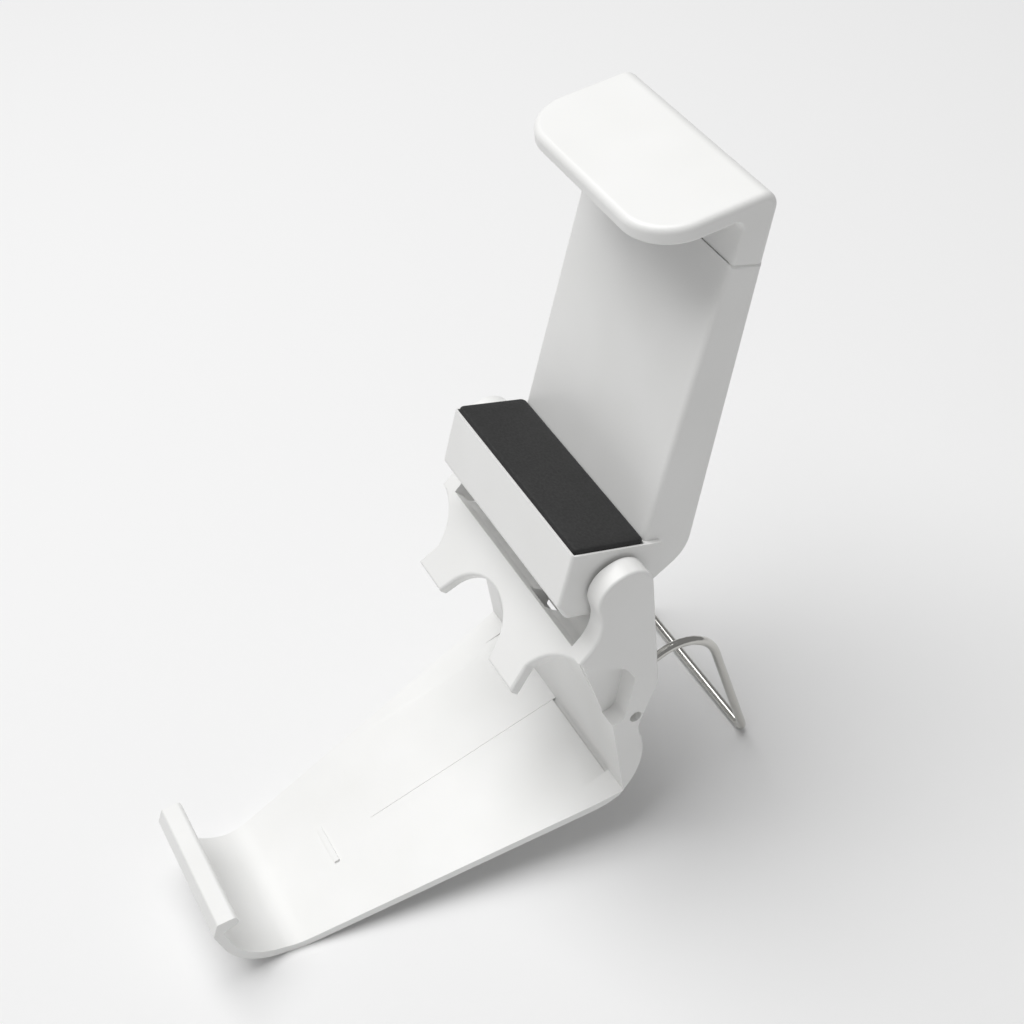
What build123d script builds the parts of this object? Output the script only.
from build123d import *
import math
import os

# A tilting phone clamp on a low base.  The base is a curved plate with a hook at its
# front and a riser at its back.  The clamp turns between the riser's two ears, its
# upper jaw slides up against two springs, and a wire stand swings out behind.
#
# Everything is drawn in millimetres in two frames that share the hinge axis (X):
#   base frame   y runs back along the plate, z runs up from the plate's top face
#   clamp frame  y runs back and z runs up along the clamp, from the hinge axis
# stand_up() then leans the clamp back and sets the whole on its hook and wire.

# ---- overall sizes
HINGE_H = 51.6          # hinge axis above the plate's top face
FRONT_Y = -95.4         # front of the hook, measured from the hinge axis
BASE_W = 55.0           # width over the riser's cheeks
HOOK_W = 30.6           # width of the hook at the front
CLAMP_W = 43.6          # width of the clamp's back plate
HOUSING_H = 55.4        # from the lower seat's rim to the seam under the upper jaw
REST_LEAN = 32.0        # clamp's lean back from square to the plate, in degrees
JAW_TRAVEL = 25.0       # how far the upper jaw pulls up

# ---- base plate and hook
PLATE_T = 1.8
TAPER_FRONT_Y = -87.0   # sides are parallel in front of this and spread behind it
CURL_R = 13.5           # outer radius of the plate's turn up into the hook
HOOK_H = 19.2           # ridge of the hook above the plate's top face
HOOK_CHAMFER_Y = 2.0
HOOK_CHAMFER_Z = 2.6
FLANGE_L = 5.6          # hook flange, front face to inner edge
FLANGE_T = 2.0
FLANGE_DROP = 0.9       # how far the flange's inner edge lies below its ridge
RIB_L = 9.2
RIB_W = 1.1
RIB_H = 0.5
RIB_Y = -70.0
LEDGE_H = 0.1           # height of the thin raised pad on the plate
LEDGE_FRONT_Y = -60.0
LEDGE_INSET = 1.0       # from the plate's side
PLATE_BACK_Y = -16.2    # back edge of the plate, under the riser

# ---- riser
WALL_T = 2.0            # front and back walls of the riser
WALL_FRONT_Y = -11.8    # outer face of the front wall
FOOT_Y = -15.4          # where that face meets the plate
CHEEK_T = 5.9           # thickness of a cheek below the ears
HEEL_R = 15.0
HEEL_Y = -7.7           # back of the heel
NECK_Z = 16.0
NECK_R = 6.5
WAIST_Y = -0.6
WAIST_Z = 24.6
FLOOR_Z = 37.6          # top of the floor under the clamp block
FLOOR_T = 1.8
POCKET_D = 4.1          # depth of the side pockets in the cheeks
CHEEK_ROUND = 0.6
POCKET_ROOM = 2.9       # wall left between a pocket and the prongs' root
POCKET_FLOOR = 1.3      # pocket floor above the wire's pivot
POCKET_BULGE = 2.9      # pocket's back, at its deepest, behind the wire's pivot
POCKET_BULGE_H = 9.5    # and its height above the pocket floor
CHEEK_FOOT_H = 0.4      # a cheek's front edge starts this far above the plate
CHEEK_NOSE = 0.4        # a cheek's front corner lies this far down the prongs' slope

# ---- prongs
PRONG_SLOPE = 27.7      # downward slope of the prongs, in degrees
PRONG_T = 2.6
PRONG_ROOT_Y = -12.4    # upper edge of the prongs' top face
PRONG_ROOT_Z = 43.0
PRONG_L = 14.3
PRONG_OUT = 19.3        # half width over the prong tips
PRONG_IN = 10.1         # half width between the prong tips
PRONG_WAIST = 18.2      # half width where the outer edges are narrowest
NOTCH_DEPTH = 9.6
PRONG_ROOT_T = 0.6      # how far the prongs' plate reaches to each side of its root edge
PRONG_ROUND = 0.7

# ---- ears and hinge
EAR_R = 5.8
EAR_T = 4.1
EAR_BLEND_R = 9.0       # concave blend from an ear's front edge to the prongs
EAR_GAP = 0.7           # gap between the clamp block and each ear
PIN_R = 1.5
RUN_CLEAR = 0.05        # radial clearance of a running fit
PIN_DEPTH = 2.8         # how far a hinge pin enters its ear
PIN_HEAD_R = 2.6
PIN_HEAD_T = 1.5
WASHER_R = 4.0
WASHER_T = 0.5
WASHER_GAP = 0.08

# ---- clamp housing
FACE_Y = 4.3            # face that the phone's back rests on
SEAT_Z = 7.5            # rim of the lower seat
SEAT_DEPTH = 14.9       # depth of the lower seat in front of the face
BLOCK_BOTTOM_Z = -7.1
BACK_BOTTOM_Y = 15.4    # housing's back at its lower end
BACK_BOTTOM_Z = 3.5
BACK_TOP_Y = 11.0       # housing's back at the seam
SHELL_T = 1.8
COVER_T = 2.0
COVER_CLEAR = 0.12
CAVITY_Z = 8.6          # floor of the spring space
CHAMBER_Y = 3.8         # half depth of the hinge chamber
CHAMBER_X = 17.0        # half width of the hinge chamber

# ---- sliding jaw
SEAM_GAP = 0.1
JAW_SLOPE = 20.5        # the upper jaw slopes down to the front by this, in degrees
JAW_T = 3.2
JAW_REACH = 17.0        # from the face to the jaw's front edge
JAW_CORNER_R = 9.0
JAW_INSIDE_H = 8.2      # from the seam to the jaw's inner corner
JAW_FOOT_SET = 0.2      # jaw's foot is set back from the face
JAW_BACK_SET = 0.1      # and its back from the housing's
JAW_BACK_DRAFT = 0.9
JAW_CROWN_R = 2.8
JAW_TOP_ROUND = 1.3
JAW_LOW_ROUND = 0.6
WING_RIM = 1.8          # wings of the tongue reach this far past the springs' pins
WING_T = 0.9
TONGUE_W = 20.0
TONGUE_T = 2.2
TONGUE_L = 51.0
SLIDE_CLEAR = 0.3
STOP_R = 1.8
STOP_Z = 41.0

# ---- rubber pads
PAD_RIM = 0.5           # white rim left around the lower pad
PAD_PROUD = 0.9
PAD_SINK = 1.2
PAD_CLEAR = 0.1
UPPER_PAD_W = 36.0
UPPER_PAD_L = 10.8
UPPER_PAD_T = 1.6
UPPER_PAD_INSET = 2.0   # from the jaw's front edge

# ---- springs and screws
SPRING_X = 13.5
SPRING_OD = 2.8
SPRING_ID = 1.9
SPRING_PIN_R = 0.8
SPRING_LOW_Z = 12.4
SPRING_TOP_DROP = 2.6   # upper spring pins lie this far below the seam
LOOP_WIRE_R = 0.35
SCREW_R = 1.0
SCREW_HEAD_R = 1.8
SCREW_HEAD_T = 1.0
SCREW_SLOT_L = 2.2      # arms of a screw's cross recess
SCREW_SLOT_W = 0.5
SCREW_BITE = 3.2        # length of a screw under its head
HEAD_CLEAR = 0.15       # around a recessed screw head
SHANK_CLEAR = 0.12      # around a screw where it passes through a cover
PRESS_CLEAR = 0.01      # around pins and screws held tight
COVER_SCREW_X = 17.6
COVER_SCREW_LOW = 16.0  # lower and upper screws of the rear cover, from its two ends
COVER_SCREW_HIGH = 8.0
HATCH_SCREW_INSET = 2.6
HATCH_HEAD_T = 0.84     # thinner screw heads under the block
BOSS_R = 2.3
HATCH_T = 1.5           # cover under the clamp block
HATCH_W = 42.0
HATCH_FRONT_Y = -6.4
HATCH_BACK_Y = 4.2

# ---- wire stand
WIRE_R = 0.9
PIVOT_Y = -7.25
PIVOT_Z = 19.5
ELBOW_Y = 13.9
ELBOW_Z = 23.0
ELBOW_R = 9.5
FOOT_BAR_Z = -18.0
WIRE_CORNER_R = 3.0
WIRE_END_R = 1.7
WIRE_END_GAP = 1.5      # wire ends stop this far inside the cheeks' outer faces
STOP_GAP = 0.3          # gap between the wire's arms and the wall above them

# ---- worked out from the sizes above
CHEEK_X = BASE_W / 2
CHEEK_IN_X = CHEEK_X - CHEEK_T
EAR_IN_X = CHEEK_X - EAR_T
BLOCK_X = EAR_IN_X - EAR_GAP
HOUSING_X = CLAMP_W / 2
JAW_X = HOUSING_X + 0.2
SEAM_Z = SEAT_Z + HOUSING_H
BLOCK_FRONT_Y = FACE_Y - SEAT_DEPTH
CURL_Y = FRONT_Y + CURL_R
BACK_LEAN = math.degrees(math.atan2(BACK_BOTTOM_Y - BACK_TOP_Y, SEAM_Z - BACK_BOTTOM_Z))
SPRING_TOP_Z = SEAM_Z - SPRING_TOP_DROP
CAVITY_Y = FACE_Y + SHELL_T
CAVITY_X = HOUSING_X - SHELL_T
WIRE_X = CHEEK_IN_X - WIRE_END_R - 0.1   # side arms of the wire, from the middle plane
TONGUE_Y = CAVITY_Y + SLIDE_CLEAR


def slab(corners, half_width):
    """Solid drawn in side view from (y, z, corner radius) points, centred on x = 0."""
    points = [(y, z) for y, z, _ in corners]
    radii = [radius for _, _, radius in corners]
    line = Plane.YZ * FilletPolyline(*points, radius=radii, close=True)
    return extrude(make_face(line), amount=half_width, both=True)


def block(x, y, z):
    """Box between two corners, each given as (low, high)."""
    size = (x[1] - x[0], y[1] - y[0], z[1] - z[0])
    middle = ((x[0] + x[1]) / 2, (y[0] + y[1]) / 2, (z[0] + z[1]) / 2)
    return Pos(*middle) * Box(*size)


def rod_x(radius, x0, x1, y, z):
    """Round bar along X."""
    return Pos((x0 + x1) / 2, y, z) * Rot(0, 90, 0) * Cylinder(radius, abs(x1 - x0))


def rod_y(radius, y0, y1, x, z):
    """Round bar along Y."""
    return Pos(x, (y0 + y1) / 2, z) * Rot(90, 0, 0) * Cylinder(radius, abs(y1 - y0))


def both_sides(solid):
    """A solid and its mirror image across x = 0."""
    return [solid, mirror(solid, about=Plane.YZ)]


def round_edges(solid, edges, radius):
    """Round the edges that the solid still has."""
    return fillet(edges, radius) if edges else solid


# ---------------------------------------------------------------- base frame
def plan_prism():
    """Upright prism over the plan of the base: hook, tapering plate and full-width riser."""
    back_y = EAR_R + 2.0
    right = [
        (HOOK_W / 2, FRONT_Y - 1),
        (HOOK_W / 2, TAPER_FRONT_Y),
        (CHEEK_X, FOOT_Y),
        (CHEEK_X, back_y),
    ]
    left = [(-x, y) for x, y in reversed(right)]
    plan = make_face(Polyline(*right, *left, close=True))
    return Pos(0, 0, -CURL_R) * extrude(plan, amount=HINGE_H + 2 * CURL_R)


def plate_and_hook():
    """The tapering plate, its turn up and the hook's flange."""
    ridge_y = FRONT_Y + HOOK_CHAMFER_Y
    inner_y = FRONT_Y + FLANGE_L
    flange_z = HOOK_H - FLANGE_DROP
    corners = [
        (PLATE_BACK_Y, 0, 0),
        (FRONT_Y + PLATE_T, 0, CURL_R - PLATE_T),
        (FRONT_Y + PLATE_T, flange_z - FLANGE_T, 0.6),
        (inner_y, flange_z - FLANGE_T, 0.7),
        (inner_y, flange_z, 0.7),
        (ridge_y, HOOK_H, 0.5),
        (FRONT_Y, HOOK_H - HOOK_CHAMFER_Z, 1.0),
        (FRONT_Y, -PLATE_T, CURL_R),
        (PLATE_BACK_Y, -PLATE_T, 0),
    ]
    body = slab(corners, BASE_W) & plan_prism()
    heel_y = HEEL_Y - HEEL_R
    heel_z = HEEL_R - PLATE_T
    under = block((CHEEK_IN_X, CHEEK_X + 1), (heel_y, HEEL_Y), (-PLATE_T - 1, heel_z))
    under -= rod_x(HEEL_R, CHEEK_IN_X - 1, CHEEK_X + 2, heel_y, heel_z)
    for cut in both_sides(under):
        body -= cut
    return body


def cheek_outline():
    """Side view of a cheek and its ear, base frame, as (y, z, radius) corners."""
    slope = math.radians(PRONG_SLOPE)
    run = (math.cos(slope), math.sin(slope))
    knee_z = PRONG_ROOT_Z + (-EAR_R - PRONG_ROOT_Y) * math.tan(slope)
    blend_room = (HINGE_H - knee_z) / math.tan(math.radians(45) - slope / 2)
    nose = (PRONG_ROOT_Y - CHEEK_NOSE * run[0], PRONG_ROOT_Z - CHEEK_NOSE * run[1])
    return [
        (HEEL_Y - HEEL_R - 1.5, -PLATE_T, 0),
        (HEEL_Y, -PLATE_T, HEEL_R),
        (HEEL_Y, NECK_Z, NECK_R),
        (WAIST_Y, WAIST_Z, 6.0),
        (EAR_R + 1.1, HINGE_H + EAR_R, EAR_R * 0.85),
        (-EAR_R, HINGE_H + EAR_R, EAR_R * 0.97),
        (-EAR_R, knee_z, min(EAR_BLEND_R, blend_room * 0.97)),
        (nose[0], nose[1], 0),
        (nose[0] + PRONG_T * run[1], nose[1] - PRONG_T * run[0], 0),
        (WALL_FRONT_Y, NECK_Z + 6.0, 0),
        (FOOT_Y, CHEEK_FOOT_H, 0),
        (HEEL_Y - HEEL_R - 1.5, -CHEEK_FOOT_H / 2, 0),
    ]


def cheeks_and_ears():
    """Both cheeks with their ears, edges rounded on the outside."""
    body = slab(cheek_outline(), CHEEK_X)
    outer = body.edges().filter_by(lambda e: abs(abs(e.center().X) - CHEEK_X) < 0.01)
    front = (HEEL_Y - HEEL_R - 2.0, WALL_FRONT_Y + 0.2)
    hidden = [
        e for e in outer.filter_by(GeomType.LINE)
        if front[0] < e.center().Y < front[1] and e.center().Z < PRONG_ROOT_Z - 1
    ]
    body = round_edges(body, [e for e in outer if e not in hidden], CHEEK_ROUND)
    tall = HINGE_H + 2 * EAR_R
    body -= block((-CHEEK_IN_X, CHEEK_IN_X), (FOOT_Y - 20, EAR_R + 1), (-PLATE_T - 1, FLOOR_Z + 1))
    body -= block((-EAR_IN_X, EAR_IN_X), (FOOT_Y - 20, EAR_R + 1), (FLOOR_Z, tall))
    return body & plan_prism()


def pocket():
    """Side pocket of one cheek, open to the front, under the prongs' arch."""
    front_y = FOOT_Y - 5.0
    top = PRONG_ROOT_Z - POCKET_ROOM
    bottom = PIVOT_Z + POCKET_FLOOR
    bulge_z = bottom + POCKET_BULGE_H
    corners = [
        (front_y, bottom, 0),
        (PIVOT_Y - 2.0, bottom, 2.0),
        (PIVOT_Y + POCKET_BULGE, bulge_z, 1.5),
        (PIVOT_Y + POCKET_BULGE - 1.0, bulge_z + 4.0, 4.0),
        (PIVOT_Y - 4.2, top - 0.2, 3.0),
        (front_y, top + 0.6, 0),
    ]
    return Pos(CHEEK_X, 0, 0) * slab(corners, POCKET_D)


def riser_walls():
    """Front wall, floor under the clamp block, and back wall, between the cheeks."""
    back_y = WAIST_Y + (FLOOR_Z - WAIST_Z) * (EAR_R - WAIST_Y) / (HINGE_H - WAIST_Z)
    wall_y = WAIST_Y - 1.2
    arm_top = PIVOT_Z + WIRE_R + (ELBOW_Z - PIVOT_Z) * (wall_y - PIVOT_Y) / (ELBOW_Y - PIVOT_Y)
    slope = math.radians(PRONG_SLOPE)
    front = [
        (FOOT_Y - 1.5, -PLATE_T, 0),
        (FOOT_Y, 0, 2.5),
        (WALL_FRONT_Y, NECK_Z + 6.0, 6.0),
        (WALL_FRONT_Y, PRONG_ROOT_Z - PRONG_T / math.cos(slope), 0),
        (PRONG_ROOT_Y, PRONG_ROOT_Z, 0.5),
        (WALL_FRONT_Y + WALL_T + 1.5, FLOOR_Z, 2.0),
        (back_y, FLOOR_Z, 0.8),
        (back_y, FLOOR_Z - FLOOR_T, 0),
        (WAIST_Y, WAIST_Z + 0.6, 1.0),
        (wall_y, arm_top + STOP_GAP, 0),
        (wall_y - WALL_T, arm_top + STOP_GAP, 0.5),
        (wall_y - WALL_T, FLOOR_Z - FLOOR_T, 1.0),
        (WALL_FRONT_Y + WALL_T, FLOOR_Z - FLOOR_T, 2.0),
        (WALL_FRONT_Y + WALL_T, NECK_Z + 6.0, 6.0),
        (FOOT_Y + WALL_T, -PLATE_T, 0),
    ]
    return slab(front, CHEEK_IN_X + 0.5)


def prongs():
    """The sloping plate whose two prongs leave a round notch between them."""
    slope = math.radians(PRONG_SLOPE)
    plane = Plane(
        origin=(0, PRONG_ROOT_Y, PRONG_ROOT_Z),
        x_dir=(1, 0, 0),
        z_dir=(0, -math.sin(slope), math.cos(slope)),
    )
    edge_x = CHEEK_X - CHEEK_ROUND
    inset = PRONG_T + 0.5
    notch_x = PRONG_IN - 1.0
    notch_end = (notch_x, -PRONG_L + inset)
    notch_top = (0, -PRONG_L + NOTCH_DEPTH)
    arch = (PRONG_WAIST + (edge_x - PRONG_WAIST) * 0.3, -PRONG_L * 0.28)
    waist = (PRONG_WAIST, -PRONG_L * 0.62)
    flat = make_face([
        ThreePointArc((edge_x, -PRONG_ROOT_T), arch, waist),
        Line(waist, (PRONG_OUT, -PRONG_L)),
        Line((PRONG_OUT, -PRONG_L), (PRONG_IN, -PRONG_L)),
        Line((PRONG_IN, -PRONG_L), notch_end),
        ThreePointArc(notch_end, notch_top, (-notch_x, notch_end[1])).trim(0, 0.5),
        Line(notch_top, (0, PRONG_ROOT_T)),
        Line((0, PRONG_ROOT_T), (edge_x, PRONG_ROOT_T)),
        Line((edge_x, PRONG_ROOT_T), (edge_x, -PRONG_ROOT_T)),
    ])
    half = extrude(plane * flat, amount=-PRONG_T)
    rim = half.edges().filter_by(lambda e: e.center().Y < PRONG_ROOT_Y - 0.5 and e.center().X > 0.1)
    across = rim.filter_by(lambda e: abs(e.length - PRONG_T) > 0.05)
    half = round_edges(half, across, PRONG_ROUND)
    return half + mirror(half, about=Plane.YZ)


def base_frame():
    """One moulding: plate, hook, riser, cheeks, ears and prongs."""
    body = plate_and_hook()
    body += cheeks_and_ears()
    body += riser_walls()
    body += prongs()
    for cut in both_sides(pocket()):
        body -= cut
    for side in (-1, 1):
        pin_end = side * (EAR_IN_X + PIN_DEPTH + 0.2)
        body -= rod_x(PIN_R + RUN_CLEAR, side * (EAR_IN_X - 1), pin_end, 0, HINGE_H)
        body -= rod_x(WIRE_R + RUN_CLEAR, side * (CHEEK_IN_X - 1), side * (CHEEK_X + 1), PIVOT_Y, PIVOT_Z)
        body -= rod_x(WIRE_R + 0.35, side * (CHEEK_X - WIRE_END_GAP), side * (CHEEK_X + 1), PIVOT_Y, PIVOT_Z)
    body += block((-RIB_L / 2, RIB_L / 2), (RIB_Y - RIB_W / 2, RIB_Y + RIB_W / 2), (-0.2, RIB_H))
    taper = (CHEEK_X - HOOK_W / 2) / (FOOT_Y - TAPER_FRONT_Y)
    ledge_x = CHEEK_X - taper * (FOOT_Y - LEDGE_FRONT_Y) - LEDGE_INSET
    body += block((-ledge_x, 0), (LEDGE_FRONT_Y, FOOT_Y + 1), (-0.2, LEDGE_H))
    body -= block((5.4, 11.6), (PRONG_ROOT_Y + 1.2, PRONG_ROOT_Y + 3.4), (FLOOR_Z - 3, PRONG_ROOT_Z + 1))
    return body


def wire_stand():
    """One length of round wire, its two ends turned out into the cheeks."""
    end_x = CHEEK_X - WIRE_END_GAP
    points = [
        (-end_x, PIVOT_Y, PIVOT_Z),
        (-WIRE_X, PIVOT_Y, PIVOT_Z),
        (-WIRE_X, ELBOW_Y, ELBOW_Z),
        (-WIRE_X, ELBOW_Y, FOOT_BAR_Z),
        (WIRE_X, ELBOW_Y, FOOT_BAR_Z),
        (WIRE_X, ELBOW_Y, ELBOW_Z),
        (WIRE_X, PIVOT_Y, PIVOT_Z),
        (end_x, PIVOT_Y, PIVOT_Z),
    ]
    radii = [WIRE_END_R, ELBOW_R, WIRE_CORNER_R, WIRE_CORNER_R, ELBOW_R, WIRE_END_R]
    path = FilletPolyline(*points, radius=radii)
    start = Plane(origin=path @ 0, z_dir=path % 0)
    return sweep(start * Circle(WIRE_R), path=path)


# --------------------------------------------------------------- clamp frame
def back_frame():
    """Plane on the housing's sloping back: x to the left, y up, z out of the back."""
    lean = math.radians(BACK_LEAN)
    return Plane(
        origin=(0, BACK_BOTTOM_Y, BACK_BOTTOM_Z),
        x_dir=(-1, 0, 0),
        z_dir=(0, math.cos(lean), math.sin(lean)),
    )


def back_length():
    """Length of the sloping back up to the seam."""
    return (SEAM_Z - BACK_BOTTOM_Z) / math.cos(math.radians(BACK_LEAN))


def cover_screw_places():
    """Points (x, y) of the rear cover's screws on the back plane."""
    heights = (COVER_SCREW_LOW, back_length() - COVER_SCREW_HIGH)
    return [(x, y) for x in (-COVER_SCREW_X, COVER_SCREW_X) for y in heights]


def hatch_screw_places():
    """Points (x, y) of the screws of the cover under the block."""
    middle_y = (HATCH_FRONT_Y + HATCH_BACK_Y) / 2
    screw_x = HATCH_W / 2 - HATCH_SCREW_INSET
    return [(-screw_x, middle_y), (screw_x, middle_y)]


def housing_outline():
    """Side view of the clamp housing with its lower seat."""
    return [
        (BLOCK_FRONT_Y, SEAT_Z, 0),
        (BLOCK_FRONT_Y, BLOCK_BOTTOM_Z + 3.0, 1.2),
        (BLOCK_FRONT_Y + 2.4, BLOCK_BOTTOM_Z, 1.5),
        (5.5, BLOCK_BOTTOM_Z, 6.0),
        (BACK_BOTTOM_Y, BACK_BOTTOM_Z, 8.0),
        (BACK_TOP_Y, SEAM_Z, 0),
        (FACE_Y, SEAM_Z, 0),
        (FACE_Y, SEAT_Z, 0),
    ]


def seat_block():
    """Block under the lower seat, a little wider than the clamp."""
    body = slab(housing_outline(), BLOCK_X)
    body &= block((-BLOCK_X, BLOCK_X), (BLOCK_FRONT_Y, FACE_Y + 3.4), (BLOCK_BOTTOM_Z, SEAT_Z))
    edges = body.edges().filter_by(lambda e: abs(abs(e.center().X) - BLOCK_X) < 0.01)
    front = edges.filter_by(lambda e: e.center().Y < FACE_Y and e.center().Z < SEAT_Z - 0.01)
    return round_edges(body, front, 0.7)


def housing_hollows():
    """Spring space, pad recess, hinge chamber with its cover's seat, and pin bores."""
    pad_x = BLOCK_X - PAD_RIM + PAD_CLEAR
    pad_y = (BLOCK_FRONT_Y + PAD_RIM - PAD_CLEAR, FACE_Y)
    chamber_low = BLOCK_BOTTOM_Z + HATCH_T
    hatch_y = (HATCH_FRONT_Y, HATCH_BACK_Y)
    return [
        block((-CAVITY_X, CAVITY_X), (CAVITY_Y, BACK_BOTTOM_Y + 5), (CAVITY_Z, SEAM_Z + 5)),
        block((-pad_x, pad_x), pad_y, (SEAT_Z - PAD_SINK, SEAT_Z + 1)),
        block((-CHAMBER_X, CHAMBER_X), (-CHAMBER_Y, CHAMBER_Y), (chamber_low - 0.01, CHAMBER_Y)),
        block((-HATCH_W / 2, HATCH_W / 2), hatch_y, (BLOCK_BOTTOM_Z - 1, chamber_low)),
        rod_x(PIN_R + RUN_CLEAR, -BLOCK_X - 1, BLOCK_X + 1, 0, 0),
    ]


def screw_bosses():
    """Posts for the rear cover's screws, from the front wall back to the cover."""
    plane = back_frame()
    rings = Sketch() + [Pos(x, y) * Circle(BOSS_R) for x, y in cover_screw_places()]
    lid = Pos(0, back_length() / 2) * Rectangle(3 * CLAMP_W, 3 * HOUSING_H)
    posts = extrude(plane * rings, amount=FACE_Y - BACK_BOTTOM_Y)
    posts &= slab(housing_outline(), CAVITY_X + 0.5)
    return posts - extrude(plane * lid, amount=-COVER_T - 0.02)


def clamp_housing():
    """Front shell of the clamp, with the lower seat block moulded on."""
    body = slab(housing_outline(), HOUSING_X)
    fronts = body.edges().filter_by(lambda e: abs(abs(e.center().X) - HOUSING_X) < 0.01)
    fronts = fronts.filter_by(lambda e: e.center().Z > SEAT_Z or e.center().Y > FACE_Y)
    body = round_edges(body, fronts, 1.0) + seat_block()
    for hollow in housing_hollows():
        body -= hollow
    body += screw_bosses()
    screw = SCREW_R + PRESS_CLEAR
    for x, y in cover_screw_places():
        body -= back_frame() * Pos(x, y, -COVER_T - SCREW_BITE / 2 + 0.8) * Cylinder(screw, SCREW_BITE + 1.8)
    for x, y in hatch_screw_places():
        body -= Pos(x, y, BLOCK_BOTTOM_Z + SCREW_BITE / 2 + 0.8) * Cylinder(screw, SCREW_BITE + 1.8)
    for x in (-SPRING_X, SPRING_X):
        body -= rod_y(SPRING_PIN_R + PRESS_CLEAR, FACE_Y + 0.7, CAVITY_Y + 1, x, SPRING_LOW_Z)
    return body + rod_y(STOP_R, CAVITY_Y - 0.5, TONGUE_Y + TONGUE_T, 0, STOP_Z)


def rear_cover():
    """Flat cover let into the housing's back, with recessed screw holes."""
    plane = back_frame()
    top = back_length() - 0.15
    bottom = (CAVITY_Z - BACK_BOTTOM_Z) / math.cos(math.radians(BACK_LEAN)) + 0.25
    face = Pos(0, (top + bottom) / 2) * Rectangle(2 * (CAVITY_X - COVER_CLEAR), top - bottom)
    body = extrude(plane * face, amount=-COVER_T)
    outer = body.edges().filter_by(lambda e: plane.to_local_coords(e.center()).Z > -0.1)
    body = round_edges(body, outer, 0.25)
    head_hole = 2 * (SCREW_HEAD_T + HEAD_CLEAR)
    for x, y in cover_screw_places():
        body -= plane * Pos(x, y, -COVER_T / 2) * Cylinder(SCREW_R + SHANK_CLEAR, COVER_T + 1)
        body -= plane * Pos(x, y, 0) * Cylinder(SCREW_HEAD_R + HEAD_CLEAR, head_hole)
    return body


def pan_screw(head_t):
    """Small screw, head underside at z = 0 and shank down, with a cross recess."""
    body = Pos(0, 0, head_t / 2) * Cylinder(SCREW_HEAD_R, head_t)
    body += Pos(0, 0, -SCREW_BITE / 2) * Cylinder(SCREW_R, SCREW_BITE)
    for turn in (0, 90):
        body -= Pos(0, 0, head_t) * Rot(0, 0, turn) * Box(SCREW_SLOT_L, SCREW_SLOT_W, head_t)
    return body


def rear_cover_screws():
    """Four screws of the rear cover."""
    seat = -SCREW_HEAD_T - HEAD_CLEAR
    plane = back_frame().location
    return [plane * Pos(x, y, seat) * pan_screw(SCREW_HEAD_T) for x, y in cover_screw_places()]


def block_cover():
    """Cover that closes the hinge chamber under the block."""
    half_x = HATCH_W / 2 - PAD_CLEAR
    y = (HATCH_FRONT_Y + PAD_CLEAR, HATCH_BACK_Y - PAD_CLEAR)
    body = block((-half_x, half_x), y, (BLOCK_BOTTOM_Z, BLOCK_BOTTOM_Z + HATCH_T))
    for x, y in hatch_screw_places():
        body -= Pos(x, y, BLOCK_BOTTOM_Z) * Cylinder(SCREW_R + SHANK_CLEAR, 2 * HATCH_T + 1)
        body -= Pos(x, y, BLOCK_BOTTOM_Z) * Cylinder(SCREW_HEAD_R + HEAD_CLEAR, 2 * HATCH_HEAD_T + 0.12)
    return body


def block_cover_screws():
    """Two screws of the cover under the block, heads recessed."""
    seat = Rot(180, 0, 0) * pan_screw(HATCH_HEAD_T)
    return [Pos(x, y, BLOCK_BOTTOM_Z + HATCH_HEAD_T + 0.06) * seat for x, y in hatch_screw_places()]


def hinge_pin(side):
    """Steel pin from the hinge chamber through the block into one ear."""
    head_out = CHAMBER_X - 0.05
    body = rod_x(PIN_R, side * (head_out - PIN_HEAD_T), side * (EAR_IN_X + PIN_DEPTH), 0, 0)
    body += rod_x(PIN_HEAD_R, side * (head_out - PIN_HEAD_T), side * head_out, 0, 0)
    return body


def hinge_spring():
    """Compression spring between the two hinge pins' heads."""
    reach = CHAMBER_X - 0.05 - PIN_HEAD_T - 0.05
    return rod_x(2.2, -reach, reach, 0, 0) - rod_x(1.5, -reach - 1, reach + 1, 0, 0)


def friction_washer(side):
    """Thin washer between the block and one ear."""
    inner = side * (BLOCK_X + WASHER_GAP)
    outer = side * (BLOCK_X + WASHER_GAP + WASHER_T)
    return rod_x(WASHER_R, inner, outer, 0, 0) - rod_x(PIN_R + 0.1, side * 1, side * CHEEK_X, 0, 0)


def lower_pad():
    """Rubber pad in the lower seat."""
    half = BLOCK_X - PAD_RIM
    body = block(
        (-half, half),
        (BLOCK_FRONT_Y + PAD_RIM, FACE_Y - PAD_CLEAR),
        (SEAT_Z - PAD_SINK, SEAT_Z + PAD_PROUD),
    )
    uprights = body.edges().filter_by(Axis.Z)
    body = fillet(uprights, 0.8)
    return chamfer(body.faces().sort_by(Axis.Z)[-1].edges(), 0.3)


def jaw_line():
    """Points of the jaw's sloping underside: its front end and its inner corner."""
    slope = math.radians(JAW_SLOPE)
    inner_y = FACE_Y + JAW_FOOT_SET
    inner_z = SEAM_Z + JAW_INSIDE_H
    front_y = FACE_Y - JAW_REACH + JAW_T * math.sin(slope)
    front_z = inner_z - (inner_y - front_y) * math.tan(slope)
    return (front_y, front_z), (inner_y, inner_z)


def jaw_plane():
    """Plane on the sloping underside's front edge: x to the right, z out of the jaw's top."""
    slope = math.radians(JAW_SLOPE)
    (front_y, front_z), _ = jaw_line()
    return Plane(
        origin=(0, front_y, front_z),
        x_dir=(1, 0, 0),
        z_dir=(0, -math.sin(slope), math.cos(slope)),
    )


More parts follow.
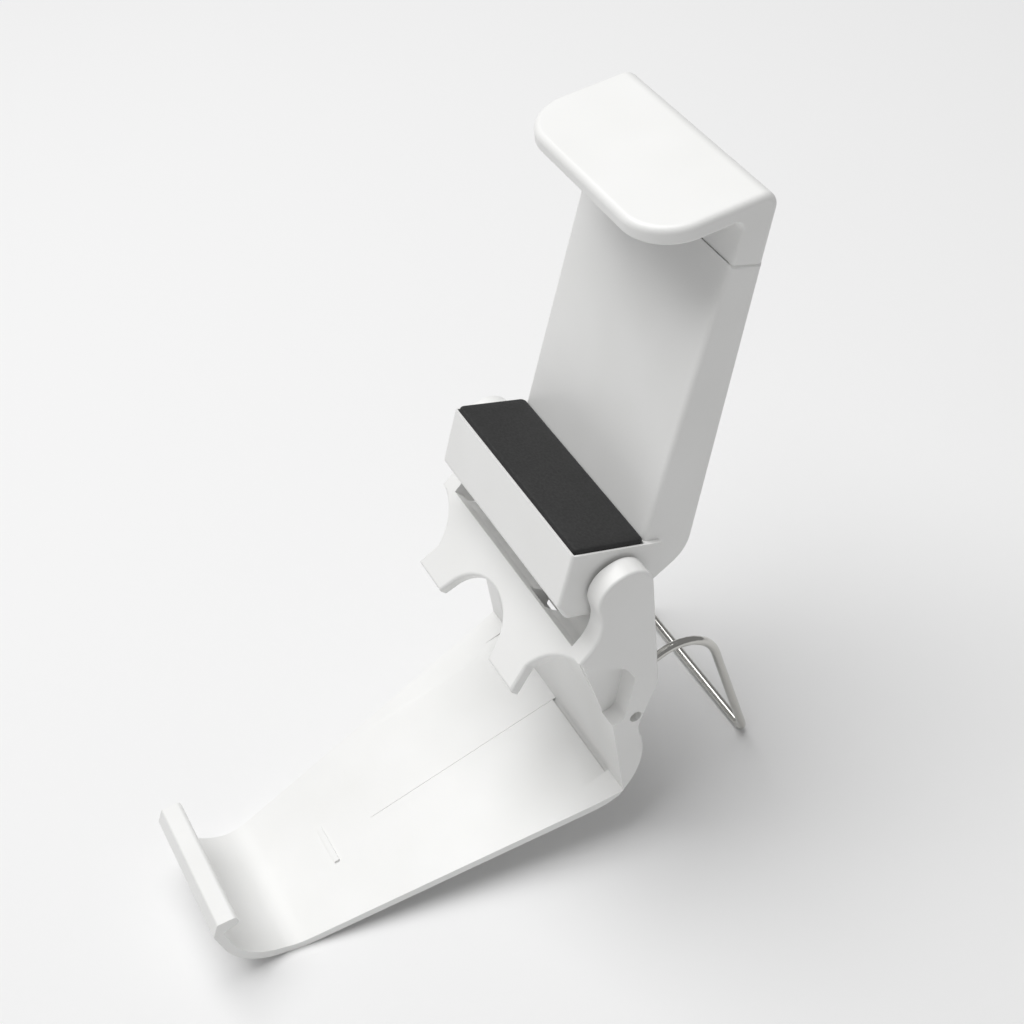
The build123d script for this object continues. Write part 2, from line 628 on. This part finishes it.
def jaw_shell():
    """Outer body of the sliding jaw, its rim rounded above and below."""
    slope = math.radians(JAW_SLOPE)
    (front_y, front_z), (inner_y, inner_z) = jaw_line()
    tip_y = front_y - JAW_T * math.sin(slope)
    tip_z = front_z + JAW_T * math.cos(slope)
    back_y = BACK_TOP_Y - JAW_BACK_SET
    crown_y = back_y - JAW_BACK_DRAFT
    seam = SEAM_Z + SEAM_GAP
    corners = [
        (inner_y, seam, 0),
        (back_y, seam, 0),
        (crown_y, tip_z + (crown_y - tip_y) * math.tan(slope), JAW_CROWN_R),
        (tip_y, tip_z, 0),
        (front_y, front_z, 0),
        (inner_y, inner_z, 1.5),
    ]
    plane = jaw_plane()
    plan = Pos(0, CLAMP_W / 2) * Rectangle(2 * JAW_X, CLAMP_W)
    plan = fillet([v for v in plan.vertices() if v.Y < 1], JAW_CORNER_R)
    body = slab(corners, JAW_X) & (plane * Pos(0, 0, -HOUSING_H) * extrude(plan, amount=2 * HOUSING_H))

    def outer(edge):
        middle = edge.center()
        return middle.Z > seam + 0.5 and (abs(middle.X) > 1 or middle.Y < 0)

    def height(edge):
        return plane.to_local_coords(edge.center()).Z

    upper = body.edges().filter_by(outer)
    upper = upper.filter_by(lambda e: abs(height(e) - JAW_T) < 0.01 or e.center().Y > back_y - 2.5)
    body = round_edges(body, upper, JAW_TOP_ROUND)
    lower = body.edges().filter_by(outer)
    lower = lower.filter_by(
        lambda e: abs(height(e)) < 0.02
        or (abs(e.center().Y - inner_y) < 0.6 and abs(e.center().X) > JAW_X - 0.2)
    )
    return round_edges(body, lower, JAW_LOW_ROUND)


def jaw_tongue():
    """Tongue with its stop slot, and the wings that carry the springs' upper pins."""
    top = SEAM_Z + SEAM_GAP + 1.0
    y = (TONGUE_Y, TONGUE_Y + TONGUE_T)
    tongue = block((-TONGUE_W / 2, TONGUE_W / 2), y, (SEAM_Z - TONGUE_L, top))
    half_slot = STOP_R + 0.2
    slot = (STOP_Z - JAW_TRAVEL - STOP_R - SLIDE_CLEAR, STOP_Z + STOP_R + SLIDE_CLEAR)
    tongue -= block((-half_slot, half_slot), (y[0] - 1, y[1] + 1), slot)
    wing_x = SPRING_X + WING_RIM
    wing_low = SPRING_TOP_Z - SPRING_PIN_R - 0.35
    wings = block((-wing_x, wing_x), (TONGUE_Y, TONGUE_Y + WING_T), (wing_low, top))
    for x in (-SPRING_X, SPRING_X):
        wings -= rod_y(SPRING_PIN_R + PRESS_CLEAR, y[0] - 1, y[1] + 1, x, SPRING_TOP_Z)
    return tongue + wings


def sliding_jaw():
    """Upper jaw with the tongue that runs inside the housing."""
    return jaw_shell() + jaw_tongue()


def upper_pad():
    """Rubber pad under the sliding jaw."""
    plane = jaw_plane()
    face = Pos(0, UPPER_PAD_INSET + UPPER_PAD_L / 2) * RectangleRounded(UPPER_PAD_W, UPPER_PAD_L, 4.0)
    body = extrude(plane * face, amount=-UPPER_PAD_T)
    low = [e for e in body.edges() if plane.to_local_coords(e.center()).Z < -UPPER_PAD_T + 0.05]
    return chamfer(low, 0.3)


def spring_pins(z, y0, y1):
    """Two small steel pins that hold the ends of the springs."""
    return [rod_y(SPRING_PIN_R, y0, y1, x, z) for x in (-SPRING_X, SPRING_X)]


def jaw_spring(side):
    """One pull spring: its coil as a tube, with a loop at each end."""
    x = side * SPRING_X
    y = CAVITY_Y + 0.25 + SPRING_OD / 2
    loop_r = SPRING_PIN_R + 0.1 + LOOP_WIRE_R
    low = SPRING_LOW_Z + loop_r
    high = SPRING_TOP_Z - loop_r
    middle = Pos(x, y, (low + high) / 2)
    coil = middle * Cylinder(SPRING_OD / 2, high - low) - middle * Cylinder(SPRING_ID / 2, high - low + 1)
    loop = Rot(90, 0, 0) * Torus(loop_r, LOOP_WIRE_R)
    loop_low = Pos(x, y, SPRING_LOW_Z) * loop
    loop_high = Pos(x, y, SPRING_TOP_Z) * loop
    return coil + loop_low + loop_high


# -------------------------------------------------------------- standing frame
def ground_tilt():
    """Angle in degrees that puts the curl and the wire's foot bar on one level."""
    along = ELBOW_Y - CURL_Y
    up = FOOT_BAR_Z - (CURL_R - PLATE_T)
    reach = math.hypot(along, up)
    return -math.degrees(math.atan2(up, along) - math.asin((WIRE_R - CURL_R) / reach))


def stand_up(base_parts, clamp_parts):
    """Lean the clamp, tilt all onto the ground and centre the whole over the origin."""
    hinge = Pos(0, 0, HINGE_H)
    tilt = Rot(ground_tilt(), 0, 0)
    placed = {name: tilt * part for name, part in base_parts.items()}
    for name, part in clamp_parts.items():
        placed[name] = tilt * hinge * Rot(-REST_LEAN, 0, 0) * part
    box = Compound(children=[copy_of(part) for part in placed.values()]).bounding_box()
    shift = Pos(0, -(box.min.Y + box.max.Y) / 2, -box.min.Z)
    return {name: shift * part for name, part in placed.items()}, shift * tilt


def copy_of(part):
    """A copy that can be grouped without moving the original."""
    return Compound(part.solids())


def grouped(solids):
    """Separate solids kept together in one node."""
    return Compound(children=list(solids))


def build():
    """All nodes by name, in the standing frame, and the base frame's place in it."""
    base_parts = {
        "base_frame": base_frame(),
        "wire_stand": wire_stand(),
    }
    clamp_parts = {
        "clamp_housing": clamp_housing(),
        "rear_cover": rear_cover(),
        "rear_cover_screws": grouped(rear_cover_screws()),
        "block_cover": block_cover(),
        "block_cover_screws": grouped(block_cover_screws()),
        "lower_pad": lower_pad(),
        "hinge_pin_left": hinge_pin(-1),
        "hinge_pin_right": hinge_pin(1),
        "hinge_spring": hinge_spring(),
        "friction_washer_left": friction_washer(-1),
        "friction_washer_right": friction_washer(1),
        "lower_spring_pins": grouped(spring_pins(SPRING_LOW_Z, FACE_Y + 0.75, CAVITY_Y + 3.0)),
        "sliding_jaw": sliding_jaw(),
        "upper_pad": upper_pad(),
        "upper_spring_pins": grouped(spring_pins(SPRING_TOP_Z, TONGUE_Y, CAVITY_Y + 2.7)),
        "jaw_spring_left": jaw_spring(-1),
        "jaw_spring_right": jaw_spring(1),
    }
    return stand_up(base_parts, clamp_parts)


def main():
    os.makedirs("parts", exist_ok=True)
    nodes, _ = build()
    for name, part in nodes.items():
        export_step(part, f"parts/{name}.step")


if __name__ == "__main__":
    main()
